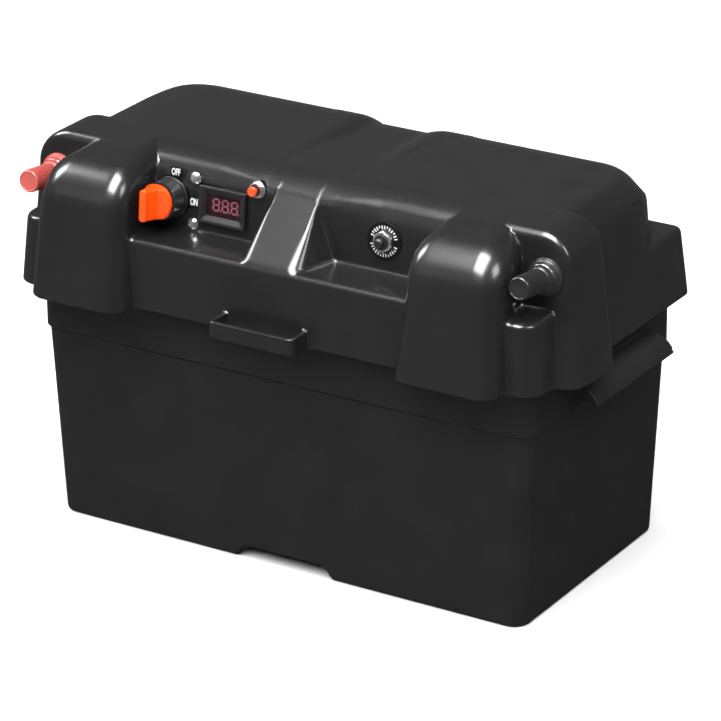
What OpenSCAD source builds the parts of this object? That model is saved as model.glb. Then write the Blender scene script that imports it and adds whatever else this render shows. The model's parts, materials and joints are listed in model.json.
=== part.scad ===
// Battery box: an open tray, a lift-off domed lid, and the switchgear on the lid.
// Millimetres. +Z is up, the front with the controls faces -Y, the floor is z = 0.

/* [Tray] */
// Outside length of the tray at its step
tray_length = 365.4; // [350:0.2:372]
// Outside depth of the tray at its step
tray_depth = 186; // [176:1:188]
// Height of the step where the upper band starts
step_height = 135; // [120:1:140]
// Height of the tray's rim, hidden by the lid
tray_height = 178; // [174:1:182]
// Wall thickness of both mouldings
wall = 3; // [2.5:0.1:3.5]
// Half of the length of each end handle
handle_half = 54; // [46:1:58]

/* [Lid] */
// Height of the lid's lower rim
rim_z = 166.5; // [164:0.5:168]
// Height of the shelf in front of the control panels
ledge_z = 213; // [211:0.5:215]
// Height of the lid's flat top
top_z = 261; // [257:0.5:265]
// Lean of the control panels from upright
panel_tilt = 6; // [4:0.5:8]
// Depth of the strap channel across the top
strap_groove = 3.5; // [2:0.5:4]

/* [Controls] */
// Radius of the isolator's turning knob
knob_r = 12.4; // [11:0.1:13]
// Turn of the isolator knob from off to on
isolator_turn = 90; // [60:5:90]
// Width of the voltmeter's bezel
meter_w = 35; // [32:0.5:38]
// Height of the voltmeter's bezel
meter_h = 24.5; // [22:0.5:26]
// Diameter of the circuit breaker's label disc
label_d = 24.5; // [22:0.5:26]
// Thread diameter of the terminal studs
stud_d = 8; // [6:1:8]

/* [Hidden] */

$fn = 64;
eps = 0.01;
lid_back = 99.2;               // lid's rear rim, from the tray's middle
lid_front = 107;               // lid's front rim, from the tray's middle
lid_half = 194;                // half of the lid's length without its end bulges
bulge_front = 124.5;           // reach of the front bulges and the strap loop
loop_back = 116.3;             // reach of the rear strap loop
end_half = 210;                // half of the whole length
shift_y = (bulge_front - loop_back) / 2;  // puts the bounding box's middle on y = 0
cavity_drop = 25;              // how far block outlines run below the rim before trimming
foot_z = rim_z - cavity_drop;
panel_y = -71;                 // control panels, where they meet the shelf
post_y = -73;                  // terminal walls, where they meet the notch floor
terminal_x = 181.5;
terminal_up = 20.8;            // terminal height on its wall
isolator_x = -94.3;
isolator_up = 19.1;
meter_x = -54;
meter_up = 19.6;
button_x = -29;
button_up = 36;
breaker_x = 65.5;
breaker_up = 20.3;
running = 0.05;                // radial clearance of turning and sliding shafts

// ---- outline helpers: a point is [x, y] or [x, y, corner radius] ----

function flat(p) = [p.x, p.y];
function radius(p) = len(p) == 3 ? p[2] : 0;
function unit(v) = v / norm(v);
function left_of(a, b) = let (d = unit(flat(b) - flat(a))) [-d.y, d.x];

// One corner of an outline, as an arc of n steps between its two sides.
function corner(a, b, c, n) =
  let (r = radius(b), u = unit(flat(a) - flat(b)), v = unit(flat(c) - flat(b)),
       half = acos(u * v) / 2, centre = flat(b) + unit(u + v) * r / sin(half),
       from = flat(b) + u * r / tan(half) - centre,
       to = flat(b) + v * r / tan(half) - centre,
       start = atan2(from.y, from.x),
       sweep = (atan2(to.y, to.x) - start + 540) % 360 - 180)
  r < 0.1 ? [flat(b)]
          : [for (i = [0:n]) centre + r * [cos(start + sweep * i / n), sin(start + sweep * i / n)]];

function rounded(pts, n = 6) =
  let (m = len(pts)) [for (i = [0:m - 1]) each corner(pts[(i + m - 1) % m], pts[i], pts[(i + 1) % m], n)];

// An anticlockwise outline moved inwards by t, with its corner radii to match.
function inset(pts, t) =
  let (m = len(pts))
  [for (i = [0:m - 1])
    let (n1 = left_of(pts[(i + m - 1) % m], pts[i]), n2 = left_of(pts[i], pts[(i + 1) % m]),
         q = flat(pts[i]) + (n1 + n2) * t / (1 + n1 * n2))
    [q.x, q.y, radius(pts[i]) == 0 ? 0 : max(radius(pts[i]) - t, 0.5)]];

function block(w, d, r) =
  [[-w / 2, -d / 2, r], [w / 2, -d / 2, r], [w / 2, d / 2, r], [-w / 2, d / 2, r]];

// Solids from a plan, a side view (y, z) and an end view (x, z).
module plan(pts, low, high) translate([0, 0, low]) linear_extrude(high - low) polygon(pts);
module side(pts, low, high) translate([low, 0, 0]) rotate([90, 0, 90]) linear_extrude(high - low) polygon(pts);
module end(pts, low, high) translate([0, high, 0]) rotate([90, 0, 0]) linear_extrude(high - low) polygon(pts);

module both_ends() {
  children();
  mirror([1, 0, 0]) children();
}

module place() translate([0, shift_y, 0]) children();

// Local frame on a wall that leans back: +Z points out of the wall, +Y up along it.
module on_wall(x, foot_y, up) place() translate([x, foot_y, ledge_z]) rotate([90 - panel_tilt, 0, 0])
  translate([0, up, 0]) children();

module tube(r_out, r_in, low, high) translate([0, 0, low]) difference() {
  cylinder(h = high - low, r = r_out);
  translate([0, 0, -eps]) cylinder(h = high - low + 2 * eps, r = r_in);
}

module rod(r, low, high) translate([0, 0, low]) cylinder(h = high - low, r = r);

module slab(w, h, low, high, r = 0.6) translate([0, 0, low]) linear_extrude(high - low)
  polygon(rounded(block(w, h, r), 3));

module hexagon(across_flats, low, high) translate([0, 0, low])
  cylinder(h = high - low, r = across_flats / sqrt(3), $fn = 6);

// ---- tray ----

floor_w = tray_length - 11.8;  // the walls lean out towards the step
floor_d = tray_depth - 6.8;
band = 1.8;                    // how far the upper band stands out of the ends
side_band = 1.2;               // and of the long sides
channel_h = 8;                 // strap channel under the floor

module plate(w, d, z, r) translate([0, 0, z]) linear_extrude(eps) polygon(rounded(block(w, d, r), 5));

module tray_body(t) hull() {
  plate(floor_w - 2 * t, floor_d - 2 * t, 0, 12 - t);
  plate(tray_length - 2 * t, tray_depth - 2 * t, step_height - eps, 12.5 - t);
}

module strap_channel(t) end([[-36 - t, -1], [36 + t, -1], [36 + t, 0], [30.2 + t, channel_h + t],
  [-30.2 - t, channel_h + t], [-36 - t, 0]], -120, 120);

// Curved lip that the fingers go under, in an end view.
lip_centre = [185, 136];
lip_reach = [21, 18.6];
function lip_arc(t, from, to, n) = [for (i = [0:n]) let (a = from + (to - from) * i / n)
  lip_centre + [(lip_reach.x - t) * cos(a), (lip_reach.y - t) * sin(a)]];

module handle() intersection() {
  union() {
    end(concat([[182.5, 154.6]], lip_arc(wall, 90, 18, 10), lip_arc(0, 18, 90, 10)), -handle_half, handle_half);
    for (s = [-1, 1]) end(concat([[182.5, 142.8], [203, 142.8]], lip_arc(1, 25, 90, 8), [[182.5, 153.6]]),
      s * (handle_half - 7) - 7, s * (handle_half - 7) + 7);
  }
  plan(rounded([[170, -handle_half], [206, -handle_half, 10], [206, handle_half, 10], [170, handle_half]]), 100, 170);
}

module tray() color([0.06, 0.06, 0.06]) place() difference() {
  union() {
    difference() {
      union() {
        tray_body(0);
        plan(rounded(block(tray_length + 2 * band, tray_depth + 2 * side_band, 12.5)), step_height - 2, tray_height);
      }
      difference() {
        union() {
          tray_body(wall);
          plan(rounded(block(tray_length + 2 * (band - wall), tray_depth + 2 * (side_band - wall), 10)),
            step_height - 0.1, tray_height + 1);
        }
        translate([-200, -120, -1]) cube([400, 240, wall + 1]);
      }
    }
    intersection() {
      strap_channel(wall);
      tray_body(1);
    }
    both_ends() handle();
  }
  strap_channel(0);
}

// ---- lid ----

// Each block takes an inset t: 0 is the outside of the moulding, wall is its inside.

module skirt_block(t) intersection() {
  plan(rounded(inset([[-lid_half, -lid_front, 13.5], [lid_half, -lid_front, 13.5],
    [lid_half, lid_back, 6], [-lid_half, lid_back, 6]], t)), foot_z, top_z);
  end(rounded(inset([[-lid_half - 2.2, foot_z], [lid_half + 2.2, foot_z], [190, ledge_z + 1, 4.5],
    [-190, ledge_z + 1, 4.5]], t)), -130, 130);
  side(rounded(inset([[-lid_front - 1.6, foot_z], [lid_back + 2.7, foot_z], [94.2, ledge_z + 1, 4.5],
    [-104, ledge_z, 3]], t)), -200, 200);
}

// The dome is narrow in front, where the terminal notches are, and full width behind.
module front_dome(t) intersection() {
  side(rounded(inset([[-104, ledge_z - 13], [0, ledge_z - 13], [0, top_z],
    [-104 + top_z - ledge_z, top_z, 34], [-104, ledge_z]], t), 10), -200, 200);
  end(rounded(inset([[-164.5, ledge_z - 13], [164.5, ledge_z - 13], [162.3, 258.4, 3],
    [140, top_z, 60], [-140, top_z, 60], [-162.3, 258.4, 3]], t), 4), -130, 130);
}

module rear_dome(t) intersection() {
  side(rounded(inset([[-38, ledge_z - 13], [93.2, ledge_z - 13], [92.6, top_z, 45], [-38, top_z]], t), 10),
    -200, 200);
  end(rounded(inset([[-191, ledge_z - 13], [191, ledge_z - 13], [187.4, 243, 16], [170, 257.5, 3],
    [140, top_z, 60], [-140, top_z, 60], [-170, 257.5, 3], [-187.4, 243, 16]], t), 5), -130, 130);
  plan(rounded(inset([[-190.5, -38], [190.5, -38], [190.5, 93, 45], [-190.5, 93, 45]], t), 10),
    ledge_z - 14, top_z + 1);
}

module front_bulge(t) intersection() {
  side(rounded(inset([[-126.7, foot_z], [-40, foot_z], [-40, top_z], [-72, top_z, 30],
    [-112.9, 252, 32]], t), 8), 60, 200);
  plan(rounded(inset([[80, -40], [80, -127], [174.5, -127, 14], [174.5, -104], [163.5, -70],
    [163.5, -40]], t)), foot_z, top_z);
  end(rounded(inset([[80, foot_z], [175, foot_z], [169.3, top_z, 20], [80, top_z]], t), 8), -130, 0);
  translate([103, -110, ledge_z]) rotate([0, 5.1, -7.41]) translate([t, -150, -150]) cube(300);
}

module end_bulge(t) intersection() {
  side(rounded(inset([[-90, foot_z], [-27, foot_z], [-20, top_z, 12], [-68, top_z, 6],
    [post_y, ledge_z]], t), 5), 100, 215);
  end(rounded(inset([[120, foot_z], [end_half + 3.9, foot_z], [195.4, top_z, 23], [120, top_z]], t), 8),
    -100, 0);
  plan(rounded(inset([[120, -84], [end_half, -84, 11], [end_half, -20, 15], [120, -20]], t)), foot_z, top_z);
}

// Pocket in front of a control panel, beside the central wedge; grows by t.
wedge_foot = [20.6, -103, 213];
module pocket(t) intersection() {
  side(rounded(inset([[-140, ledge_z - 8], [panel_y + tan(panel_tilt) * -8, ledge_z - 8],
    [panel_y + tan(panel_tilt) * 60, ledge_z + 60], [-140, ledge_z + 60]], -t)), 0, 130);
  translate(wedge_foot) rotate([0, -22.8, -16.7]) translate([-t, -150, -150]) cube([300, 300, 300]);
}

module top_groove(t) end([[-20 - t, top_z - strap_groove - t], [20 + t, top_z - strap_groove - t],
  [29 + t, top_z + 2], [-29 - t, top_z + 2]], -130, 130);

module lid_block(t) {
  difference() {
    union() {
      front_dome(t);
      rear_dome(t);
    }
    both_ends() pocket(t);
    top_groove(t);
  }
  skirt_block(t);
  both_ends() {
    front_bulge(t);
    end_bulge(t);
  }
}

// Strap loop at the middle of a long side, open from top to bottom.
module strap_loop(skirt, reach) difference() {
  plan(rounded([[-33, skirt], [-31, reach, 4], [31, reach, 4], [33, skirt]]), rim_z, 179);
  plan([[-29.5, skirt - sign(reach) * 5], [-28, reach - sign(reach) * 3.2],
    [28, reach - sign(reach) * 3.2], [29.5, skirt - sign(reach) * 5]], rim_z - 1, 180);
}

// Ribs inside the skirt locate the lid and rest on the tray's rim.
rib = 3;
rest_z = tray_height + 0.1;
module front_rib() side([[-105.5, 169], [-tray_depth / 2 - side_band - 0.8, 169], [-tray_depth / 2 - side_band - 0.8, rest_z],
  [-85, rest_z], [-85, 186], [-101, 211.5], [-102.5, 211.5]], -rib / 2, rib / 2);
module back_rib() side([[85, rest_z], [96.5, rest_z], [93, 211.5], [92, 211.5], [85, 186]], -rib / 2, rib / 2);
module end_rib() end([[175, rest_z], [tray_length / 2 + band + 0.6, rest_z], [tray_length / 2 + band + 0.6, 169],
  [192, 169], [189, 211.5], [188, 211.5], [175, 186]], -rib / 2, rib / 2);

module panel_holes() {
  on_wall(isolator_x, panel_y, isolator_up) rod(11.9, -10, 10);
  for (p = screw_spots) on_wall(p.x, panel_y, p.y) rod(1.7, -10, 10);
  on_wall(meter_x, panel_y, meter_up) slab(31.2, 21.2, -10, 10);
  on_wall(button_x, panel_y, button_up) rod(3.7, -10, 10);
  on_wall(breaker_x, panel_y, breaker_up) rod(4.9, -10, 10);
  both_ends() on_wall(terminal_x, post_y, terminal_up) rod(5.2, -12, 10);
}

module lid() color([0.07, 0.07, 0.07]) difference() {
  place() {
    difference() {
      intersection() {
        lid_block(0);
        translate([-250, -150, rim_z]) cube([500, 300, 120]);
      }
      lid_block(wall);
    }
    strap_loop(-105.6, -bulge_front);
    strap_loop(97.8, loop_back);
    for (x = [-60, 60]) translate([x, 0, 0]) {
      front_rib();
      back_rib();
    }
    both_ends() for (y = [10, 60]) translate([0, y, 0]) end_rib();
  }
  panel_holes();
}

// ---- isolator switch ----

screw_spots = [[-76, 34.7], [-77, 4]];
knob_z = 15.2;                 // underside of the knob above the panel
chamber_r = 11;
chamber_low = -24;
chamber_high = -10;
post_x = 7;                    // contact posts either side of the shaft

module isolator_body() color([0.05, 0.05, 0.05]) on_wall(isolator_x, panel_y, isolator_up) difference() {
  union() {
    rod(13.5, -30, -wall - 0.1);
    rod(11.7, -4, 2);
    rod(12.4, 2.6, 14.6);
    rod(11.7, 1.9, 2.7);
  }
  rod(chamber_r, chamber_low, chamber_high);
  rod(3 + running, chamber_high - 1, 20);
  for (s = [-1, 1]) translate([s * post_x, 0, 0]) rod(2.5, -31, chamber_low + 1);
}

module isolator_ring() color([0.08, 0.08, 0.08]) on_wall(isolator_x, panel_y, isolator_up) difference() {
  rod(13.4, 0.05, 2.5);
  rod(11.75, -1, 3);
}

// Round disc with a tapered grip ridge and the shaft that turns the contact.
module isolator_knob() color([0.93, 0.28, 0.05]) on_wall(isolator_x, panel_y, isolator_up) {
  rod(knob_r, knob_z, knob_z + 3.2);
  intersection() {
    translate([0, 0, knob_z + 3]) linear_extrude(16) polygon(rounded(block(5.8, 22, 2.4)));
    rod(knob_r, knob_z, 60);
  }
  for (s = [-1, 1]) rotate([90, 0, 0]) translate([0, 0, -10.2]) linear_extrude(20.4)
    polygon([[0, knob_z + 3], [s * 7.6, knob_z + 3], [s * 3.4, knob_z + 8.5], [s * 2.4, knob_z + 14], [0, knob_z + 14]]);
  rod(3, chamber_high - 5, knob_z + 1);
}

module isolator_contact() color([0.8, 0.6, 0.25]) on_wall(isolator_x, panel_y, isolator_up)
  slab(6, 20, chamber_high - 10, chamber_high - 5.05);

module isolator_posts() color([0.72, 0.55, 0.3]) on_wall(isolator_x, panel_y, isolator_up)
  for (s = [-1, 1]) translate([s * post_x, 0, 0]) {
    rod(2.45, -44, -21.4);
    rod(3, -21.4, -20.2);
  }

module isolator_nuts() color([0.75, 0.75, 0.77]) on_wall(isolator_x, panel_y, isolator_up)
  for (s = [-1, 1]) translate([s * post_x, 0, 0]) difference() {
    hexagon(8, -34, -30.1);
    rod(2.5, -35, -29);
  }

module panel_screws() color([0.8, 0.8, 0.82]) for (p = screw_spots) on_wall(p.x, panel_y, p.y) {
  difference() {
    intersection() {
      rod(4, 0.05, 2.6);
      translate([0, 0, -2.4]) sphere(r = 5);
    }
    for (a = [0, 90]) rotate([0, 0, a + 20]) translate([-2.2, -0.5, 1.4]) cube([4.4, 1, 3]);
  }
  rod(1.5, -12, 0.1);
}

module letter_plate(x, up) on_wall(x, panel_y, up) slab(8.4, 6.6, 0.05, 0.9);
module off_plate() color([0.03, 0.03, 0.03]) letter_plate(-91, 36.4);
module on_plate() color([0.03, 0.03, 0.03]) letter_plate(-76.5, 19.1);

// ---- voltmeter ----

window_w = 25.4;
window_h = 14.2;

module meter_bezel() color([0.05, 0.05, 0.05]) on_wall(meter_x, panel_y, meter_up) difference() {
  union() {
    slab(meter_w, meter_h, 0.05, 2.2, 1.2);
    slab(meter_w - 2.4, meter_h - 2.4, 2.2, 3.4, 1);
  }
  slab(window_w, window_h, -1, 5, 0.8);
}

module meter_window() color([0.35, 0.05, 0.06, 0.6]) on_wall(meter_x, panel_y, meter_up)
  slab(window_w - 0.1, window_h - 0.1, 0.3, 1.3, 0.8);

// Three seven-segment digits, each of seven bars, standing on the board.
digit_w = 4.3;
digit_h = 7.6;
module digit() {
  for (y = [-1, 0, 1]) translate([0, y * digit_h / 2, 0]) slab(digit_w - 1.4, 0.9, -1.5, -0.9, 0.1);
  for (x = [-1, 1]) for (y = [-1, 1]) translate([x * digit_w / 2, y * digit_h / 4, 0])
    slab(0.9, digit_h / 2 - 1, -1.5, -0.9, 0.1);
}

module meter_digits() color([0.75, 0.1, 0.1]) on_wall(meter_x, panel_y, meter_up)
  for (i = [-1, 0, 1]) translate([i * 6.9, 0, 0]) {
    digit();
    translate([3.3, -digit_h / 2, 0]) slab(0.8, 0.8, -1.5, -0.9, 0.1);
  }

module meter_board() color([0.08, 0.2, 0.1]) on_wall(meter_x, panel_y, meter_up)
  slab(28, 18, -3.1, -1.55);

module meter_body() color([0.06, 0.06, 0.06]) on_wall(meter_x, panel_y, meter_up) difference() {
  slab(31, 21, -20, 0, 1);
  slab(28.2, 18.2, -18.4, 1, 0.8);
}

// ---- push-button ----

module button_body() color([0.1, 0.1, 0.1]) on_wall(button_x, panel_y, button_up) difference() {
  union() {
    rod(3.5, -10, 4.2);
    rod(4.6, -17, -9.5);
  }
  rod(2 + running, -12, 6);
}

module button_nut() color([0.8, 0.8, 0.82]) on_wall(button_x, panel_y, button_up) difference() {
  union() {
    rod(5.6, 0.05, 0.8);
    hexagon(9.4, 0.8, 3.2);
  }
  rod(3.55, -1, 6);
}

module button_cap() color([0.9, 0.2, 0.08]) on_wall(button_x, panel_y, button_up) {
  rod(2, -5.6, 6.6);
  difference() {
    rod(3.2, 6.4, 8.8);
    tube(4, 2.9, 8.4, 9);
  }
}

module button_pins() color([0.75, 0.6, 0.3]) on_wall(button_x, panel_y, button_up)
  for (s = [-1, 1]) translate([s * 2.5, 0, 0]) slab(0.8, 2, -24, -17, 0.1);

// ---- circuit breaker ----

module breaker_body() color([0.06, 0.06, 0.06]) on_wall(breaker_x, panel_y, breaker_up) difference() {
  union() {
    slab(16, 30, -34, -wall - 0.4, 2);
    rod(4.7, -4, 5.6);
  }
  rod(2.6 + running, -12, 8);
}

module breaker_label() color([0.04, 0.04, 0.04]) on_wall(breaker_x, panel_y, breaker_up) difference() {
  rod(label_d / 2, 0.05, 0.85);
  rod(4.8, -1, 2);
}

module breaker_nut() color([0.8, 0.8, 0.82]) on_wall(breaker_x, panel_y, breaker_up) difference() {
  intersection() {
    hexagon(12.6, 0.9, 4);
    rod(6.9, 0, 5);
  }
  rod(4.75, -1, 6);
}

module breaker_button() color([0.05, 0.05, 0.05]) on_wall(breaker_x, panel_y, breaker_up)
  rod(2.6, -7, 9.2);

module breaker_tabs() color([0.75, 0.6, 0.3]) on_wall(breaker_x, panel_y, breaker_up)
  for (s = [-1, 1]) translate([0, s * 11, 0]) difference() {
    slab(6.3, 0.8, -43, -34, 0.2);
    translate([0, 1, -39.5]) rotate([90, 0, 0]) cylinder(h = 2, r = 0.9);
  }

// ---- output terminals: s is the side, -1 for red and 1 for black ----

stud_r = stud_d / 2;
base_top = 4.4;
washer_top = 6.2;
knob_low = 6.3;
knob_high = 34;
flute_count = 28;

module on_terminal(s) on_wall(s * terminal_x, post_y, terminal_up) children();

module terminal_base(s) on_terminal(s) difference() {
  union() {
    rod(12, 0.05, 1.8);
    rod(10.4, 1.8, base_top);
    rod(5, -wall - 1, 0.1);
  }
  rod(stud_r + 0.02, -9, 6);
}

module terminal_stud(s) on_terminal(s) {
  rod(stud_r, -26, 26);
  hexagon(13, -10.5, -wall - 1.05);
}

module terminal_washer(s) on_terminal(s) difference() {
  rod(9.2, base_top + 0.05, washer_top);
  rod(stud_r + running, 3, 8);
}

module terminal_knob(s) on_terminal(s) difference() {
  union() {
    rod(9, knob_low, knob_low + 2.2);
    rod(8.1, knob_low + 2.2, knob_low + 3.6);
    translate([0, 0, knob_low + 3.6]) linear_extrude(knob_high - knob_low - 5.4)
      polygon([for (i = [0:2 * flute_count - 1]) (i % 2 == 0 ? 7.6 : 7.15)
        * [cos(180 * i / flute_count), sin(180 * i / flute_count)]]);
    translate([0, 0, knob_high - 1.8]) cylinder(h = 1.8, r1 = 7.4, r2 = 6.4);
  }
  rod(stud_r + running, 0, 29);
}

module terminal_inner_nut(s) on_terminal(s) difference() {
  hexagon(13, -19, -14);
  rod(stud_r + 0.02, -20, -13);
}

module red_base() color([0.75, 0.12, 0.1]) terminal_base(-1);
module red_stud() color([0.75, 0.75, 0.77]) terminal_stud(-1);
module red_washer() color([0.8, 0.8, 0.82]) terminal_washer(-1);
module red_knob() color([0.85, 0.2, 0.16]) terminal_knob(-1);
module red_inner_nut() color([0.75, 0.75, 0.77]) terminal_inner_nut(-1);
module black_base() color([0.05, 0.05, 0.05]) terminal_base(1);
module black_stud() color([0.75, 0.75, 0.77]) terminal_stud(1);
module black_washer() color([0.8, 0.8, 0.82]) terminal_washer(1);
module black_knob() color([0.05, 0.05, 0.05]) terminal_knob(1);
module black_inner_nut() color([0.75, 0.75, 0.77]) terminal_inner_nut(1);

tray();
lid();
isolator_body();
isolator_ring();
isolator_knob();
isolator_contact();
isolator_posts();
isolator_nuts();
panel_screws();
off_plate();
on_plate();
meter_bezel();
meter_window();
meter_digits();
meter_board();
meter_body();
button_body();
button_nut();
button_cap();
button_pins();
breaker_body();
breaker_label();
breaker_nut();
breaker_button();
breaker_tabs();
red_base();
red_stud();
red_washer();
red_knob();
red_inner_nut();
black_base();
black_stud();
black_washer();
black_knob();
black_inner_nut();
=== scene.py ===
import json
import math

import bpy
import numpy as np
from mathutils import Matrix, Vector

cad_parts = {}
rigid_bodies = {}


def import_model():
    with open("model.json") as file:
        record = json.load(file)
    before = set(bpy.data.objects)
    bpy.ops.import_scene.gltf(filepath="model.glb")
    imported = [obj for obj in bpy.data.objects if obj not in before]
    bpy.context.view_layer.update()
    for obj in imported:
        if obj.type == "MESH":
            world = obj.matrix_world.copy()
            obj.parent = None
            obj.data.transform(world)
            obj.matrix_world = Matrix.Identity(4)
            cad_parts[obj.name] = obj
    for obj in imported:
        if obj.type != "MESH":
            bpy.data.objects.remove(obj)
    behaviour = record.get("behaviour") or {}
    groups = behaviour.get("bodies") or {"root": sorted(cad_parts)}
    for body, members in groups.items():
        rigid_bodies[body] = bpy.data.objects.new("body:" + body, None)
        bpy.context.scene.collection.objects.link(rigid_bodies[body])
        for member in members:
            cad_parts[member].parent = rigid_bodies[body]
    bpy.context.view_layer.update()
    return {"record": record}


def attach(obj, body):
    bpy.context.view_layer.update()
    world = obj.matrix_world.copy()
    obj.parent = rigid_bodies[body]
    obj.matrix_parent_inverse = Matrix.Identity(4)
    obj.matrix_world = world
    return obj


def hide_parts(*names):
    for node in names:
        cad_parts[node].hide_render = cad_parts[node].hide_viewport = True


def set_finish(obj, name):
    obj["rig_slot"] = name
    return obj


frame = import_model()

# Shapes are written in millimetres from the middle of the tray, which stands SHIFT behind
# the row frame's origin. The lid runs from RIM up to TOP, with its fittings above the LEDGE.
SHIFT = 4.1
MM = 0.001
RIM = 166.5
LEDGE = 213.0
TOP = 261.0
WALL = 3.0
FRONT_LOW = (-107, RIM)
FRONT_HIGH = (-104, LEDGE)

# The walls that carry the fittings lean back by TILT. A spot on one is its x, the y of the
# wall at the ledge, and how far up the wall it is.
TILT = math.radians(6)
PANEL_FOOT = -71.0
POST_FOOT = -73.0
ISOLATOR = (-94.3, PANEL_FOOT, 19.1)
METER = (-54.0, PANEL_FOOT, 19.6)
BUTTON = (-29.0, PANEL_FOOT, 36.0)
BREAKER = (65.5, PANEL_FOOT, 20.3)
RED = (-181.5, POST_FOOT, 20.8)
BLACK = (181.5, POST_FOOT, 20.8)
OFF_PLATE = (-91.0, PANEL_FOOT, 36.4)
ON_PLATE = (-76.5, PANEL_FOOT, 19.1)
UPPER_SCREW = (-76.0, PANEL_FOOT, 34.7)
LOWER_SCREW = (-77.0, PANEL_FOOT, 4.0)

# The tray's collar, which the lid's ribs sit on, and the half axes of its handles' oval curve.
COLLAR_X = 184.5
COLLAR_Y = 94.2
HANDLE_OUT = 21
HANDLE_RISE = 18.6


# ---- signed distances ----

def smax(a, b, r):
    """Rounded intersection: radius r where the two surfaces are square to each other."""
    return np.minimum(np.maximum(a, b), -r) + np.hypot(np.maximum(a + r, 0), np.maximum(b + r, 0))


def smin(a, b, r):
    """Filleted union."""
    h = np.maximum(r - np.abs(a - b), 0)
    return np.minimum(a, b) - h * h / np.maximum(4 * r, 1e-9)


def line(u, v, p, q):
    """Distance from the line p to q, positive on its right."""
    du, dv = q[0] - p[0], q[1] - p[1]
    return ((u - p[0]) * dv - (v - p[1]) * du) / math.hypot(du, dv)


def ramp(v, low, high):
    """0 up to low, 1 from high on, and straight between them."""
    return np.clip((v - low) / (high - low), 0, 1)


def wall_frame(spot, x, y, z):
    """Coordinates on a leaning wall: across, up along it, and out of it."""
    dy, dz = y - spot[1], z - LEDGE
    up = dy * math.sin(TILT) + dz * math.cos(TILT) - spot[2]
    out = -dy * math.cos(TILT) + dz * math.sin(TILT)
    return x - spot[0], up, out


def wall_matrix(spot):
    """The same frame as a matrix, from millimetres on the wall to metres in the row frame."""
    foot = Vector((spot[0], spot[1] + SHIFT, LEDGE)) * MM
    turn = Matrix.Rotation(math.pi / 2 - TILT, 4, "X")
    return Matrix.Translation(foot) @ turn @ Matrix.Translation((0, spot[2] * MM, 0)) @ Matrix.Scale(MM, 4)


# ---- the lid: ax is the distance from the middle, because its two ends are alike ----

def skirt(ax, y, z):
    """The straight-sided lower part, with the ledge as its top."""
    side = line(ax, z, (194, RIM), (190, 214))
    front = line(y, z, FRONT_HIGH, FRONT_LOW)
    back = line(y, z, (99.2, RIM), (94.2, 213.6))
    fall = 0.004
    shelf = z - LEDGE - (y - FRONT_HIGH[0]) * fall
    walls = np.maximum(smax(side, front, 13.5), smax(side, back, 6))
    return smax(walls, shelf, 3.6)


def roof(ax, z):
    """The flat top and its slight fall towards each end."""
    return smax(z - TOP, line(ax, z, (172, 259), (147, TOP)), 0.5)


def front_dome(ax, y, z):
    """The half under the slope that faces the front."""
    slope = line(y, z, (-56, TOP), FRONT_HIGH)
    front = line(y, z, FRONT_HIGH, FRONT_LOW)
    side = line(ax, z, (164.5, 200), (162.3, 258.4))
    d = smax(smax(slope, roof(ax, z), 10), side, 2.5)
    return smax(smax(d, front, 3), y, 1)


def rear_dome(ax, y, z):
    """The wider half behind, with a shoulder at each end that rounds off more towards the back."""
    steep = line(ax, z, (191.1, 200), (187.4, 243))
    shoulder = line(ax, z, (189.1, 245), (171.7, 259.5))
    back = line(y, z, (93.2, 200), (92.6, TOP))
    rearward = ramp(y, 20, 60)
    side = smax(steep, shoulder, 7 + 5 * rearward)
    top = smax(side, roof(ax, z), 1.6 + 3 * rearward)
    d = smax(smax(side, back, 60), smax(top, back, 45), 4 * rearward + 0.1)
    return np.maximum(d, -38 - y)


def front_bulge(ax, y, z):
    """The bulge between a control pocket and the corner notch."""
    front = line(y, z, (-112.94, 252), (-124.5, RIM))
    above = smax(line(y, z, (-72, TOP), (-112.9, 252)), z - TOP, 0.6)
    outer = smax(line(ax, z, (173.8, RIM), (169.3, TOP)), line(ax, y, (174.5, -104), (163.5, -70)), 1)
    draft = 0.09
    inner = 103.6 + draft * (y + 110) + draft * np.minimum(z - LEDGE, 0) - ax
    d = smax(smax(front, above, 21), outer, 14 + 5 * ramp(z, 215, 255))
    return np.maximum(smax(d, inner, 15), y + 40)


def end_bulge(ax, y, z):
    """The bulge behind the corner notch, whose front wall carries a terminal."""
    end = smax(line(ax, z, (210, RIM), (195.4, TOP)), z - TOP, 19.5)
    below = line(y, z, (POST_FOOT, LEDGE), (-84, RIM))
    above = line(y, z, (-68, TOP), (POST_FOOT, LEDGE))
    d = smax(end, smin(below, above, 3), 6 + (8 - 10 * ramp(z, 205, 240)) * ramp(ax, 178, 195))
    rear = line(y, z, (-27, 141.5), (-20, TOP))
    return np.maximum(smax(d, rear, 13), 120 - ax)


def carved_dome(ax, y, z):
    """The dome with its strap groove, the two control pockets and the wedge between them."""
    dome = smin(front_dome(ax, y, z), rear_dome(ax, y, z), 0.01)
    full_depth = 3.6
    depth = full_depth * ramp(y, -35, 30)
    groove_side = (ax - 20 - 2.3 * (dome + full_depth)) / 2.5
    dome = smax(dome, -smax(-dome - depth, groove_side, 1.5), 2)
    panel = (y - PANEL_FOOT - (z - LEDGE) * math.tan(TILT)) * math.cos(TILT)
    behind_panel = smax(dome, -panel, 2.5 + 6.5 * ramp(ax, 22, 60))
    wedge_side = (ax - 20.6) * 0.883 - (y + 103) * 0.265 + (z - LEDGE) * 0.388
    wedge = smax(dome, wedge_side, 6.4 - 5.6 * ramp(z, LEDGE, 243))
    return smin(behind_panel, wedge, 1.5)


def lid_outside(ax, y, z):
    d = smin(carved_dome(ax, y, z), skirt(ax, y, z), 2.2 * ramp(-y, 55, 65))
    below_top = ramp(-z, -259, -252)
    d = smin(d, front_bulge(ax, y, z), 2.4 * below_top)
    return smin(d, end_bulge(ax, y, z), 2.6 * below_top)


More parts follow.
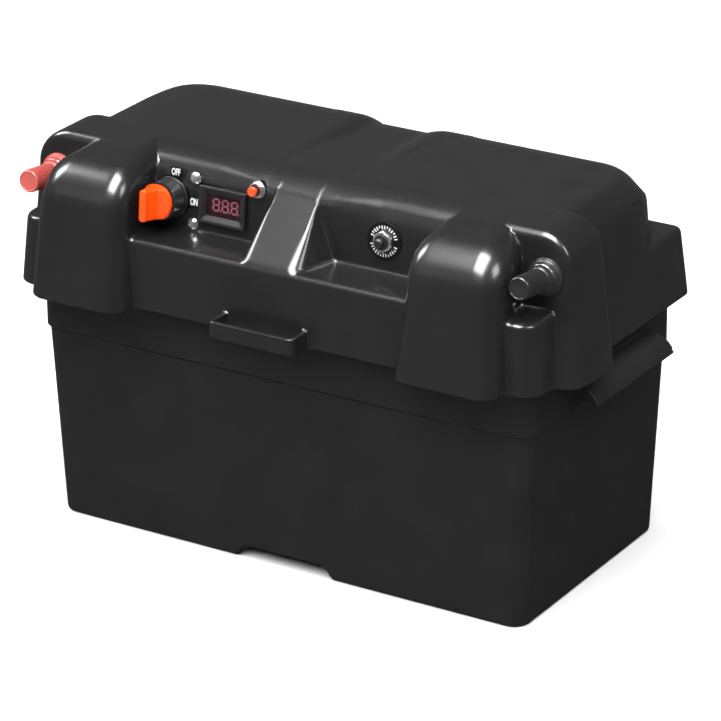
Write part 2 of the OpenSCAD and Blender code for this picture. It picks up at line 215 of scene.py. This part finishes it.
def strap_loop(ax, y, z, skirt_y, reach):
    """A loop for the hold-down strap; y runs outwards here."""
    block = smax(smax(ax - 31.8, y - reach, 4), np.abs(z - 172.7) - 6.2, 0.8)
    hole = smax(ax - 28.4, y - reach + 3.3, 1.5)
    return np.maximum(smax(block, -hole, 0.7), skirt_y - y)


def ribs(ax, y, z):
    """Ribs inside the skirt, which sit on the tray's rim and locate it."""
    def profile(u, collar):
        seat = np.maximum(178.1 - z, collar - 9 - u)
        hook = np.maximum(169 - z, collar + 0.8 - u)
        above = line(u, z, (collar - 9, 186), (collar + 8, 211.5))
        return np.maximum(np.minimum(seat, hook), above)
    half = 1.5
    along = np.abs(ax - 60) - half
    across = np.minimum(np.maximum(along, profile(-y, COLLAR_Y)), np.maximum(along, profile(y, COLLAR_Y)))
    ends = np.maximum(np.minimum(np.abs(y - 10), np.abs(y - 60)) - half, profile(ax, COLLAR_X))
    return np.minimum(across, ends)


HOLES = [(ISOLATOR, 11.9), (UPPER_SCREW, 1.7), (LOWER_SCREW, 1.7), (BUTTON, 3.7),
         (BREAKER, 4.9), (RED, 5.2), (BLACK, 5.2)]
METER_HOLE = (15.6, 10.6)
HOLE_REACH = 10


def lid_shape(x, y, z):
    """The shell, a little thicker above the rim so that no cell of its grid holds both faces."""
    ax = np.abs(x)
    outside = lid_outside(ax, y, z)
    wall = WALL + 0.6 * ramp(z, 168, 180) + 0.4 * ramp(z, 200, 214)
    shell = smax(outside, -(outside + wall), 0.5)
    rib = np.maximum(ribs(ax, y, z), outside + 1.5)
    shell = np.minimum(smax(shell, RIM - z, 0.8), rib)
    for spot, r in HOLES:
        u, v, w = wall_frame(spot, x, y, z)
        shell = np.maximum(shell, -np.maximum(np.hypot(u, v) - r, np.abs(w) - HOLE_REACH))
    u, v, w = wall_frame(METER, x, y, z)
    opening = np.maximum(np.abs(u) - METER_HOLE[0], np.abs(v) - METER_HOLE[1])
    shell = np.maximum(shell, -np.maximum(opening, np.abs(w) - HOLE_REACH))
    shell = smin(shell, strap_loop(ax, -y, z, 105.3, 124.5), 0.8)
    return smin(shell, strap_loop(ax, y, z, 97.2, 116.3), 0.8)


# ---- the tray ----

def tray_shape(x, y, z):
    """The open box with its wider collar, the channel under it and a curved handle at each end."""
    ax, ay = np.abs(x), np.abs(y)
    side = line(ax, z, (176.8, 0), (182.7, 135))
    front = line(ay, z, (89.6, 0), (93, 135))
    body = smax(side, front, 12)
    band = np.maximum(smax(ax - COLLAR_X, ay - COLLAR_Y, 12.5), 133 - z)
    outside = smin(np.maximum(body, z - 140), band, 0.3)
    channel = smax(z - 8, line(ax, z, (36, 0), (30.2, 8)), 1.2)
    inside = np.minimum(np.maximum(body, z - 140), np.maximum(band, 130 - z)) + WALL
    inside = np.maximum(inside, WALL - z)
    inside = smax(inside, -(channel - WALL), 1.5)
    bottom = smax(outside, -z, 2.2)
    shell = smax(np.maximum(bottom, -channel), -inside, 0.5)
    shell = smax(shell, z - 178, 0.8)
    out, rise = (ax - 185) / HANDLE_OUT, (z - 136) / HANDLE_RISE
    q = np.hypot(out, rise)
    pull = (q - 1) * q / np.maximum(np.hypot(out / HANDLE_OUT, rise / HANDLE_RISE), 1e-6)
    edge = smax(np.abs(y - 7) - 51, ax - 206, 1.5)
    lip = smax(smax(pull, -(pull + 2.6), 0.5), 141.7 - z, 0.6)
    gusset = np.maximum(np.maximum(pull + 0.8, 142.8 - z), 40 - ay)
    handle = smax(np.minimum(lip, gusset), edge, 0.7)
    handle = np.maximum(handle, 183 - ax)
    return smin(shell, handle, 1.0)


# ---- meshes ----

def gradient(shape, p, step):
    """Central differences of shape at the points p."""
    g = np.empty_like(p)
    for a in range(3):
        d = np.zeros(3)
        d[a] = step
        g[:, a] = (shape(*(p + d).T) - shape(*(p - d).T)) / (2 * step)
    return g


def surface(shape, xs, ys, zs):
    """Quads on the zero level of shape, and their outward normals.

    The grid has its own spacing along each axis. A cell that the level crosses gets one point.
    """
    grid = [np.asarray(a, float) for a in (xs, ys, zs)]
    value = shape(*np.meshgrid(*grid, indexing="ij"))
    cells = tuple(n - 1 for n in value.shape)
    size = int(np.prod(cells))
    total, count, quads = np.zeros((3, size)), np.zeros(size), []
    for a in range(3):
        b, c = (a + 1) % 3, (a + 2) % 3
        v = np.moveaxis(value, (a, b, c), (0, 1, 2))
        i, j, k = np.nonzero((v[:-1] < 0) != (v[1:] < 0))
        keep = (j > 0) & (k > 0) & (j < v.shape[1] - 1) & (k < v.shape[2] - 1)
        i, j, k = i[keep], j[keep], k[keep]
        low, high = v[i, j, k], v[i + 1, j, k]
        point = [None] * 3
        point[a] = grid[a][i] + (grid[a][i + 1] - grid[a][i]) * low / (low - high)
        point[b], point[c] = grid[b][j], grid[c][k]
        ring = []
        for dj, dk in ((0, 0), (-1, 0), (-1, -1), (0, -1)):
            index = [None] * 3
            index[a], index[b], index[c] = i, j + dj, k + dk
            cell = np.ravel_multi_index(index, cells)
            ring.append(cell)
            count += np.bincount(cell, minlength=size)
            for n in range(3):
                total[n] += np.bincount(cell, point[n], size)
        quad = np.stack(ring, 1)
        flip = low >= 0
        quad[flip] = quad[flip, ::-1]
        quads.append(quad)
    quads = np.concatenate(quads)
    used, quads = np.unique(quads, return_inverse=True)
    points = (total[:, used] / count[used]).T
    quads = quads.reshape(-1, 4)
    reach = min(np.diff(g).min() for g in grid)
    links = np.bincount(quads.ravel(), minlength=len(points)) * 2
    for relax in (0.7, 0.6, 0.5, 0.3, 0, 0):
        around = np.zeros_like(points)
        for turn in (1, 3):
            beside = np.roll(quads, turn, 1).ravel()
            for n in range(3):
                around[:, n] += np.bincount(quads.ravel(), points[beside, n], len(points))
        points += relax * (around / links[:, None] - points)
        g = gradient(shape, points, 0.02)
        move = g * (shape(*points.T) / np.maximum((g * g).sum(1), 1e-6))[:, None]
        far = np.linalg.norm(move, axis=1, keepdims=True)
        points -= move * np.minimum(1, 0.5 * reach / np.maximum(far, 1e-9))
    normals = gradient(shape, points, 0.1 * reach)
    normals /= np.maximum(np.linalg.norm(normals, axis=1, keepdims=True), 1e-9)
    return points, quads, normals


def add_piece(name, points, faces, to_row, body, slot_name, nodes=(), normals=None, sharp=None):
    mesh = bpy.data.meshes.new(name)
    mesh.from_pydata(np.asarray(points).tolist(), [], [list(map(int, f)) for f in faces])
    mesh.transform(to_row)
    mesh.shade_smooth()
    if normals is not None:
        turned = np.asarray(normals) @ np.array(to_row.to_3x3().normalized()).T
        mesh.normals_split_custom_set_from_vertices(turned.tolist())
    if sharp is not None:
        mesh.set_sharp_from_angle(angle=math.radians(sharp))
    piece = bpy.data.objects.new(name, mesh)
    bpy.context.scene.collection.objects.link(piece)
    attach(piece, body)
    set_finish(piece, slot_name)
    if nodes:
        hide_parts(*nodes)
    return piece


def shaped(name, shape, axes, to_row, body, slot_name, nodes=()):
    points, quads, normals = surface(shape, *axes)
    return add_piece(name, points, quads, to_row, body, slot_name, nodes, normals)


def lathe(name, profile, segments, to_row, body, slot_name, nodes=(), flute=None):
    """Turns a closed profile of (radius, height) points about the local z axis.

    flute(height, angle) adds to the radius.
    """
    points, faces = [], []
    angle = np.arange(segments) * 2 * math.pi / segments
    for r, h in profile:
        radius = r + (flute(h, angle) * (r > 0) if flute else 0 * angle)
        points += np.stack([radius * np.cos(angle), radius * np.sin(angle), 0 * angle + h], 1).tolist()
    count = len(profile)
    for i in range(count):
        j = (i + 1) % count
        if profile[i][0] == 0 and profile[j][0] == 0:
            continue
        for s in range(segments):
            t = (s + 1) % segments
            quad = [i * segments + s, j * segments + s, j * segments + t, i * segments + t]
            if profile[i][0] == 0:
                quad = [i * segments, quad[1], quad[2]]
            elif profile[j][0] == 0:
                quad = [quad[0], j * segments, quad[3]]
            faces.append(quad[::-1])
    return add_piece(name, points, faces, to_row, body, slot_name, nodes, sharp=35)


def soften(profile, r, n=3):
    """Rounds every corner of a closed profile that is off the axis."""
    out, count = [], len(profile)
    for i, p in enumerate(profile):
        if p[0] == 0:
            out.append(p)
            continue
        p, a, b = (Vector(q) for q in (p, profile[i - 1], profile[(i + 1) % count]))
        cut = min(r, 0.4 * (a - p).length, 0.4 * (b - p).length)
        start, end = p + (a - p).normalized() * cut, p + (b - p).normalized() * cut
        for k in range(n + 1):
            t = k / n
            q = start * (1 - t) ** 2 + p * 2 * t * (1 - t) + end * t ** 2
            out.append((q.x, q.y))
    return out


def both_sides(values):
    """The same grid lines on both sides of zero."""
    values = np.asarray(values, float)
    return np.unique(np.round(np.concatenate([-values, values]), 6))


def spread(*spans):
    """Grid lines: (from, to, spacing) one after another."""
    return np.concatenate([np.arange(a, b, s) for a, b, s in spans])


def span(half, spacing):
    """Grid lines from -half to half."""
    return between(-half, half, spacing)


def between(low, high, spacing):
    """Grid lines from low to high."""
    return np.arange(low, high + spacing, spacing)


TO_ROW = Matrix.Translation((0, SHIFT * MM, 0)) @ Matrix.Scale(MM, 4)

shaped("lid_shell", lid_shape,
       (both_sides(spread((0, 12, 4), (12, 36, 1.95), (36, 96, 4), (96, 213, 1.95))),
        spread((-127, -15, 1.95), (-15, 45, 4), (45, 119, 1.95)),
        spread((165.4, 181, 1.9), (181, 207, 2.6), (207, 263, 1.95))),
       TO_ROW, "lid", "lid_plastic", ["lid"])

shaped("tray_shell", tray_shape,
       (both_sides(spread((0, 26, 6.5), (26, 40, 2), (40, 166, 6.3), (166, 208, 2))),
        both_sides(spread((0, 36, 6), (36, 63, 1.9), (63, 78, 6), (78, 97, 2))),
        spread((-1, 14, 2), (14, 128, 6), (128, 131.5, 1.8), (131.5, 136, 0.75), (136, 158, 2),
               (158, 172, 3.5), (172, 180, 2))),
       TO_ROW, "box", "tray_plastic", ["tray"])


# ---- isolator ----

def knob_shape(u, v, w):
    """A disc with a ridge to grip, which widens towards the disc, and the shaft behind them."""
    r = np.hypot(u, v)
    disc = smax(r - 11.1, np.abs(w - 17.2) - 1.8, 1.3)
    flank = 2.7 + np.maximum(30.5 - w, 0) * 0.24 + np.maximum(23 - w, 0) * 0.55
    grip = smax(np.abs(u) - flank, np.abs(v - 0.75) - 10.65, 2.2)
    grip = smax(smax(grip, w - 34.2, 1.8), r - 12, 1.5)
    seam = 17
    shaft = np.maximum(r - 3, np.maximum(-15 - w, w - seam))
    return np.minimum(smin(disc, np.maximum(grip, seam - w), 2.5), shaft)


grip = shaped("isolator_grip", knob_shape, (span(13.5, 0.6), span(13.5, 0.6), between(-16, 35.4, 0.6)),
              wall_matrix(ISOLATOR), "isolator_handle", "orange_plastic", ["isolator_knob"])
grip.visible_glossy = False
RING = [(13.4, 0.05), (13.4, 2.5), (11.75, 2.5), (11.75, 0.05)]
lathe("isolator_collar", soften(RING, 0.5), 96,
      wall_matrix(ISOLATOR), "lid", "black_plastic", ["isolator_ring"])


# ---- voltmeter ----

def bezel_shape(u, v, w):
    """A frame with bevelled sides round the window and a small square pit near each corner."""
    u, v = np.abs(u), np.abs(v)
    half_u, half_v, glass = 12.7, 7.1, 1.3
    block = smax(smax(u - 17.5, v - 12.25, 1.2), np.abs(w - 1.7) - 1.65, 0.5)
    pits = np.maximum(np.maximum(np.abs(u - 16.3) - 0.25, np.abs(v - 11.05) - 0.25), 3.1 - w)
    bevel_u = (u - half_u - (w - glass) * 1.35) / math.hypot(1, 1.35)
    bevel_v = (v - half_v - (w - glass) * 1.6) / math.hypot(1, 1.6)
    window = np.minimum(smax(bevel_u, bevel_v, 0.1), np.maximum(u - half_u, v - half_v))
    return np.maximum(smax(block, -window, 0.25), -pits)


shaped("meter_frame", bezel_shape, (span(18.4, 0.55), span(13.2, 0.55), between(-0.8, 4.2, 0.35)),
       wall_matrix(METER), "lid", "black_plastic", ["meter_bezel"])


# ---- nuts, button and breaker ----

def hex_nut(flats, low, high, hole, washer=0.0):
    """A nut from low to high above the wall, chamfered on top, with a washer of the given radius under it."""
    edge = 0.15
    sine, cosine = math.sin(math.radians(60)), math.cos(math.radians(60))

    def shape(u, v, w):
        hexagon = np.maximum.reduce([np.abs(u), np.abs(u * cosine + v * sine), np.abs(u * cosine - v * sine)])
        r = np.hypot(u, v)
        body = smax(hexagon - flats / 2, np.abs(w - (low + high) / 2) - (high - low) / 2, edge)
        chamfer = (r - flats / 2 - (high - w) * 1.5) / math.hypot(1, 1.5)
        body = smax(body, chamfer, edge)
        if washer:
            body = np.minimum(body, smax(r - washer, np.abs(w - low) - 0.4, 0.2))
        return smax(body, hole - r, edge)
    return shape


shaped("button_hex", hex_nut(9.4, 0.5, 3.2, 3.55, washer=5.6),
       (span(6, 0.3), span(6, 0.3), between(-0.3, 3.9, 0.25)),
       wall_matrix(BUTTON), "lid", "chrome", ["button_nut"])
shaped("breaker_hex", hex_nut(12.6, 0.9, 4.0, 4.75),
       (span(7.8, 0.35), span(7.8, 0.35), between(0.4, 4.6, 0.3)),
       wall_matrix(BREAKER), "lid", "chrome", ["breaker_nut"])
CAP = [(0, 8.6), (2.3, 8.5), (3.2, 8.0), (3.2, 6.4), (0, 6.4)]
NECK = [(2, 6.4), (2, -5.6), (0, -5.6)]
lathe("button_tip", soften(CAP, 0.5)[:-1] + NECK, 64,
      wall_matrix(BUTTON), "display_button", "button_plastic", ["button_cap"])
lathe("breaker_plunger", soften([(0, 9.2), (1.9, 9.0), (3.0, 8.2), (3.0, -7), (0, -7)], 0.8), 64,
      wall_matrix(BREAKER), "reset_button", "black_plastic", ["breaker_button"])


# ---- terminals ----

FLUTES = 28
FLUTE_LOW, FLUTE_HIGH = 10.4, 32.2
FLUTE_RUN_OUT = 0.6


def flutes(h, angle):
    """Grooves along the grip, which run out at both of its ends."""
    foot = ramp(h, FLUTE_LOW, FLUTE_LOW + FLUTE_RUN_OUT)
    tip = ramp(-h, -FLUTE_HIGH, FLUTE_RUN_OUT - FLUTE_HIGH)
    return 0.24 * foot * tip * (np.abs(np.sin(FLUTES / 2 * angle)) * 2 - 1.4)


KNOB = [(0, 33.5), (5.9, 33.5), (6.1, 34), (6.7, 34), (7.35, 33.2), (7.4, 32.3), (7.42, 31.4),
        (7.42, 11.2), (7.42, 10.3), (8.1, 9.9), (8.1, 8.5), (9, 8.5), (9, 6.3),
        (4.05, 6.3), (4.05, 29), (0, 29)]
BASE = [(12, 0.05), (12, 1.6), (10.9, 1.9), (10.4, 2.4), (10.4, 4.4),
        (4.02, 4.4), (4.02, -4), (5, -4), (5, 0.05)]
WASHER = [(9.2, 4.45), (9.2, 6.2), (4.05, 6.2), (4.05, 4.45)]


def terminal(colour, spot):
    """A grip knob, its fixed foot and the loose washer between them."""
    at = wall_matrix(spot)
    plastic_slot = f"{colour}_plastic"
    lathe(f"{colour}_grip_knob", soften(KNOB, 0.25, 2), 224,
          at, f"{colour}_grip", plastic_slot, [f"{colour}_knob"], flutes)
    lathe(f"{colour}_foot", soften(BASE, 0.4), 96, at, "lid", plastic_slot, [f"{colour}_base"])
    lathe(f"{colour}_ring", soften(WASHER, 0.35), 96, at, f"{colour}_clamp", "steel", [f"{colour}_washer"])


terminal("red", RED)
terminal("black", BLACK)


# ---- lettering and ticks ----

def word(text, spot, height, width):
    """Raised lettering of the given height and width, on the plate at the spot."""
    thick, lift = 0.12, 0.9
    curve = bpy.data.curves.new("word", "FONT")
    curve.body = text
    curve.align_x, curve.align_y = "CENTER", "CENTER"
    curve.extrude, curve.offset = 0.015, 0.03
    holder = bpy.data.objects.new("word", curve)
    bpy.context.scene.collection.objects.link(holder)
    bpy.context.view_layer.update()
    mesh = bpy.data.meshes.new_from_object(holder)
    bpy.data.objects.remove(holder)
    co = np.array([v.co for v in mesh.vertices])
    low, high = co.min(0), co.max(0)
    co = (co - (low + high) / 2) * np.array([width, height, thick]) / (high - low)
    co[:, 2] += lift
    faces = [list(p.vertices) for p in mesh.polygons]
    bpy.data.meshes.remove(mesh)
    return add_piece(text.lower() + "_letters", co, faces, wall_matrix(spot), "lid", "print", sharp=30)


word("OFF", OFF_PLATE, 4.7, 6.6)
word("ON", ON_PLATE, 4.9, 5.6)


TICKS = 30
NO_TICK = (0, 14, 15, 29)


def ticks():
    """Short radial strokes round the breaker's label, a little wider at their outer ends."""
    points, faces = [], []
    outer, low, thick = 10.1, 0.8, 0.1
    for i in range(TICKS):
        if i in NO_TICK:
            continue
        a = 2 * math.pi * (i + 0.5) / TICKS
        inner = outer - (2.3 if i % 3 else 1.4)
        for r, w in ((inner, -0.3), (outer, -0.36), (outer, 0.36), (inner, 0.3)):
            for h in (low, low + thick):
                points.append([r * math.cos(a) - w * math.sin(a), r * math.sin(a) + w * math.cos(a), h])
        n = len(points) - 8
        faces += [[n + 1, n + 3, n + 5, n + 7], [n, n + 6, n + 4, n + 2]]
        faces += [[n + k, n + (k + 2) % 8, n + (k + 2) % 8 + 1, n + k + 1] for k in (0, 2, 4, 6)]
    return add_piece("label_ticks", points, faces, wall_matrix(BREAKER), "lid", "print", sharp=30)


ticks()


# ---- materials ----

def node(tree, kind, **values):
    """A new node, with each value set on the input of that name or else on the node itself."""
    made = tree.nodes.new(kind)
    for name, value in values.items():
        if name in made.inputs:
            made.inputs[name].default_value = value
        else:
            setattr(made, name, value)
    return made


def mapping(tree, source, target):
    """A node that maps the range source to the range target."""
    made = node(tree, "ShaderNodeMapRange")
    made.inputs["From Min"].default_value, made.inputs["From Max"].default_value = source
    made.inputs["To Min"].default_value, made.inputs["To Max"].default_value = target
    return made


def surface_look(name, colour, rough, spec=0.5, coat=0.0, coat_rough=0.05, grain=1500.0, grain_depth=0.0,
                 scuff=0.1, wave_depth=0.0, vary=0.12, metal=0.0, alpha=1.0, painted_glow=None):
    """Moulded plastic or metal: colour mottling, scuffed roughness, fine grain and slow moulding waves.

    Depths are in millimetres; vary is the mottling's share of the colour. A glow colour adds painted light,
    so the part shines in that colour though no lamp lights it.
    """
    m = bpy.data.materials.new(name)
    m.use_nodes = True
    tree = m.node_tree
    link = tree.links.new
    shader = tree.nodes["Principled BSDF"]
    shader.inputs["Specular IOR Level"].default_value = spec
    shader.inputs["Metallic"].default_value = metal
    shader.inputs["Coat Weight"].default_value = coat
    shader.inputs["Coat Roughness"].default_value = coat_rough
    shader.inputs["Alpha"].default_value = alpha
    # Painted glow: the part gives off light of its own colour, as if lit, though it is no lamp.
    if painted_glow:
        shader.inputs["Emission Color"].default_value = (*painted_glow, 1)
        shader.inputs["Emission Strength"].default_value = 1.0
    place = node(tree, "ShaderNodeTexCoord").outputs["Object"]
    mottle = node(tree, "ShaderNodeTexNoise", Scale=38.0, Detail=3.0)
    tint = node(tree, "ShaderNodeValToRGB")
    dark, light = tint.color_ramp.elements
    dark.color = (*[c * (1 - vary) for c in colour], 1)
    light.color = (*[min(c * (1 + vary), 1) for c in colour], 1)
    dark.position, light.position = 0.3, 0.7
    link(place, mottle.inputs["Vector"])
    link(mottle.outputs["Fac"], tint.inputs["Fac"])
    link(tint.outputs["Color"], shader.inputs["Base Color"])
    wear = node(tree, "ShaderNodeTexNoise", Scale=1500.0, Detail=6.0, Roughness=0.65)
    rough_range = mapping(tree, (0.35, 0.7), (rough, rough + scuff))
    link(place, wear.inputs["Vector"])
    link(wear.outputs["Fac"], rough_range.inputs["Value"])
    link(rough_range.outputs["Result"], shader.inputs["Roughness"])
    fine = node(tree, "ShaderNodeTexNoise", Scale=grain, Detail=2.0)
    slow = node(tree, "ShaderNodeTexNoise", Scale=22.0, Detail=1.0)
    bump_fine = node(tree, "ShaderNodeBump", Strength=1.0, Distance=grain_depth * MM)
    bump_slow = node(tree, "ShaderNodeBump", Strength=1.0, Distance=wave_depth * MM)
    link(place, fine.inputs["Vector"])
    link(place, slow.inputs["Vector"])
    link(fine.outputs["Fac"], bump_fine.inputs["Height"])
    link(slow.outputs["Fac"], bump_slow.inputs["Height"])
    link(bump_slow.outputs["Normal"], bump_fine.inputs["Normal"])
    link(bump_fine.outputs["Normal"], shader.inputs["Normal"])
    return m


LOOKS = {
    "lid_plastic": surface_look("lid_gloss", (0.012, 0.012, 0.0125), rough=0.23, coat=0.25, coat_rough=0.08,
                                grain=900, grain_depth=0.002, scuff=0.05, wave_depth=0.12),
    "tray_plastic": surface_look("tray_satin", (0.011, 0.011, 0.0115), rough=0.42, spec=0.33,
                                 grain=1100, grain_depth=0.05, scuff=0.12, wave_depth=0.25),
    "black_plastic": surface_look("fitting_black", (0.016, 0.016, 0.017), rough=0.3, spec=0.6,
                                  coat=0.2, coat_rough=0.08, grain_depth=0.004),
    "orange_plastic": surface_look("grip_orange", (0.93, 0.07, 0.0), rough=0.2, coat=0.3, coat_rough=0.04,
                                   grain=1200, grain_depth=0.008, vary=0.06),
    "red_plastic": surface_look("terminal_red", (0.44, 0.075, 0.06), rough=0.33, coat=0.1, coat_rough=0.1,
                                grain=1400, grain_depth=0.02, scuff=0.12, vary=0.1),
    "button_plastic": surface_look("button_orange", (0.93, 0.07, 0.008), rough=0.25, coat=0.2,
                                   grain_depth=0.008, vary=0.06),
    "label": surface_look("label_black", (0.004, 0.004, 0.004), rough=0.38, spec=0.3,
                          grain=1800, grain_depth=0.01),
    "print": surface_look("print_white", (0.82, 0.82, 0.81), rough=0.45, spec=0.3,
                          grain=2500, grain_depth=0.01, vary=0.05),
    "window": surface_look("window_tint", (0.03, 0.012, 0.016), rough=0.12, scuff=0.05, vary=0.1, alpha=0.35),
    # The meter's segments carry a painted glow that brightens their pink, though no lamp lights them.
    "digits": surface_look("digit_segments", (0.5, 0.16, 0.2), rough=0.4, spec=0.4,
                           grain=2000, grain_depth=0.01, vary=0.1, painted_glow=(0.5, 0.17, 0.22)),
    "board": surface_look("circuit_board", (0.035, 0.014, 0.02), rough=0.4, spec=0.4,
                          grain_depth=0.02, vary=0.3),
    "chrome": surface_look("chrome", (0.8, 0.8, 0.81), rough=0.12,
                           grain_depth=0.002, scuff=0.04, vary=0.04, metal=0.88),
    "steel": surface_look("plated_steel", (0.6, 0.6, 0.61), rough=0.2,
                          grain=1800, grain_depth=0.01, scuff=0.15, vary=0.06, metal=1.0),
    "brass": surface_look("brass", (0.72, 0.5, 0.2), rough=0.25,
                          grain=1800, grain_depth=0.01, scuff=0.15, vary=0.08, metal=1.0),
}

# Each CAD node wears the look of its slot. The lettering and ticks are print on the labels,
# so they take their own look and then count as part of the label slot.
slot_of = {s["node"]: s["material_slot"] for s in frame["record"]["subparts"]}
for piece in bpy.data.objects:
    if piece.type == "MESH":
        look = LOOKS[piece.get("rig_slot") or slot_of[piece.name]]
        piece.data.materials.clear()
        piece.data.materials.append(look)
        if look.name == "print_white":
            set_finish(piece, "label")


# ---- floor, lights and camera ----

FLOOR_SIDE, FLOOR_BACK = 8, 14
FLOOR_DROP = 0.0004
floor_mesh = bpy.data.meshes.new("floor")
floor_mesh.from_pydata([(-FLOOR_SIDE, -FLOOR_SIDE, -FLOOR_DROP), (FLOOR_SIDE, -FLOOR_SIDE, -FLOOR_DROP),
                        (FLOOR_SIDE, FLOOR_BACK, -FLOOR_DROP), (-FLOOR_SIDE, FLOOR_BACK, -FLOOR_DROP)],
                       [], [(0, 1, 2, 3)])
floor = bpy.data.objects.new("floor", floor_mesh)
bpy.context.scene.collection.objects.link(floor)
floor.data.materials.append(surface_look("floor_pale", (0.82, 0.82, 0.82), rough=0.6, spec=0.2, vary=0.01))
floor.visible_glossy = False

# The sky is brighter on the left, so the gloss on that side is too.
world = bpy.data.worlds.new("studio")
bpy.context.scene.world = world
world.use_nodes = True
sky = world.node_tree
sky.nodes["Background"].inputs["Color"].default_value = (1, 1, 1, 1)
split = node(sky, "ShaderNodeSeparateXYZ")
shade = mapping(sky, (-0.5, 0.6), (0.12, 0.035))
sky.links.new(node(sky, "ShaderNodeTexCoord").outputs["Generated"], split.inputs["Vector"])
sky.links.new(split.outputs["X"], shade.inputs["Value"])
sky.links.new(shade.outputs["Result"], sky.nodes["Background"].inputs["Strength"])


LIT_POINT = Vector((0, -0.03, 0.22))


def softbox(name, toward, distance, width, height, power, fill=False):
    """A rectangular light seen from LIT_POINT in the direction toward.

    A fill lights the colours, and any other is only mirrored in the gloss.
    """
    data = bpy.data.lights.new(name, "AREA")
    data.shape = "RECTANGLE"
    data.size, data.size_y = width, height
    data.energy = power
    lamp = bpy.data.objects.new(name, data)
    bpy.context.scene.collection.objects.link(lamp)
    direction = Vector(toward).normalized()
    lamp.location = LIT_POINT + direction * distance
    lamp.rotation_euler = direction.to_track_quat("Z", "Y").to_euler()
    lamp.visible_glossy, lamp.visible_diffuse = not fill, fill


softbox("overhead", (0, -0.42, 0.9), 5, 7, 7, 830, fill=True)
softbox("side", (0.75, 0.45, 0.7), 5, 5, 5, 200, fill=True)
softbox("key", (-0.02, -0.34, 0.93), 1.5, 0.9, 1.1, 78)
softbox("right", (0.72, -0.15, 0.68), 1.5, 0.5, 0.5, 9)
softbox("left", (-0.78, -0.12, 0.62), 1.5, 0.4, 0.6, 18)
softbox("front_left", (-0.52, -0.74, 0.43), 1.5, 0.5, 0.4, 0.35)
bpy.context.scene.view_settings.view_transform = "Standard"

CAMERA_AT = (1.3179, -2.1060, 1.1714)
CAMERA_RIGHT = Vector((0.85067, 0.52563, -0.00800))
CAMERA_UP = Vector((-0.19951, 0.33689, 0.92015))
CAMERA_BACK = CAMERA_RIGHT.cross(CAMERA_UP).normalized()
camera_data = bpy.data.cameras.new("camera")
camera_data.sensor_width = 36
camera_data.lens = 206.49
camera = bpy.data.objects.new("camera", camera_data)
bpy.context.scene.collection.objects.link(camera)
turned = Matrix((CAMERA_RIGHT, CAMERA_UP, CAMERA_BACK)).transposed().to_4x4()
camera.matrix_world = Matrix.Translation(CAMERA_AT) @ turned
bpy.context.scene.camera = camera
